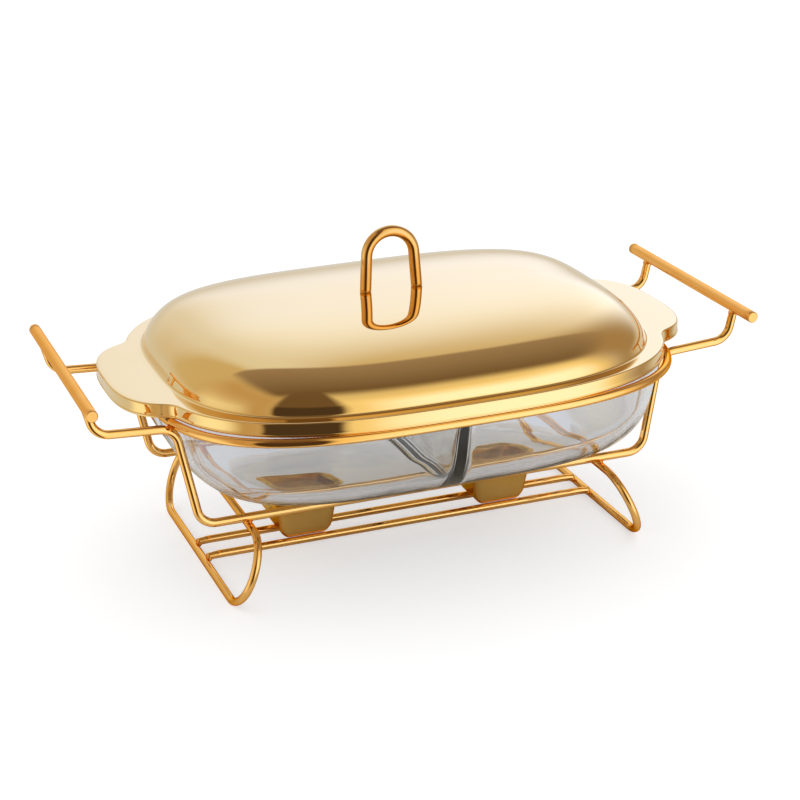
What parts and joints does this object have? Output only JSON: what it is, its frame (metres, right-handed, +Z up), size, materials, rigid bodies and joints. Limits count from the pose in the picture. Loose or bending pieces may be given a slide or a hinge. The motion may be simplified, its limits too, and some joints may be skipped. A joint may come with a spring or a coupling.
{
  "type": "glass chafing dish",
  "caption": "Oval divided glass dish with a domed gold lift-off lid, hung in a gold wire stand with handle bars, leaning foot loops and sliding tea-light cups on rails.",
  "frame": {"origin": "on the table under the middle of the dish", "axes": "+X along the dish towards the right handle bar, +Y towards the back, +Z up"},
  "size_m": [0.476, 0.2932, 0.2239],
  "materials": {
    "gold_plate": "mirror-polished gold-plated steel sheet",
    "gold_wire": "polished gold-plated steel wire",
    "gold_bar": "satin gold-plated steel rod",
    "gold_cup": "pressed and gold-plated steel sheet",
    "clear_glass": "clear pressed glass",
    "fastener_steel": "zinc-plated"
  },
  "bodies": {
    "stand": {"rim_ring": "gold_wire", "front_side_wire": "gold_wire", "back_side_wire": "gold_wire", "left_handle_bar": "gold_bar", "right_handle_bar": "gold_bar", "left_foot_loop": "gold_wire", "right_foot_loop": "gold_wire", "front_candle_rail": "gold_wire", "back_candle_rail": "gold_wire"},
    "dish": {"glass_dish": "clear_glass"},
    "lid": {"lid_shell": "gold_plate", "lid_handle": "gold_wire", "left_handle_washer": "fastener_steel", "right_handle_washer": "fastener_steel", "left_handle_screw": "fastener_steel", "right_handle_screw": "fastener_steel"},
    "left_cup": {"left_candle_cup": "gold_cup"},
    "right_cup": {"right_candle_cup": "gold_cup"}
  },
  "joints": [
    {"name": "dish_lift", "type": "slide", "parent": "stand", "child": "dish", "axis": [0, 0, 1], "range_m": [0, 0.12]},
    {"name": "lid_lift", "type": "slide", "parent": "dish", "child": "lid", "axis": [0, 0, 1], "range_m": [0, 0.12]},
    {"name": "left_cup_slide", "type": "slide", "parent": "stand", "child": "left_cup", "axis": [1, 0, 0], "range_m": [-0.045, 0.044]},
    {"name": "right_cup_slide", "type": "slide", "parent": "stand", "child": "right_cup", "axis": [1, 0, 0], "range_m": [-0.044, 0.045]}
  ]
}
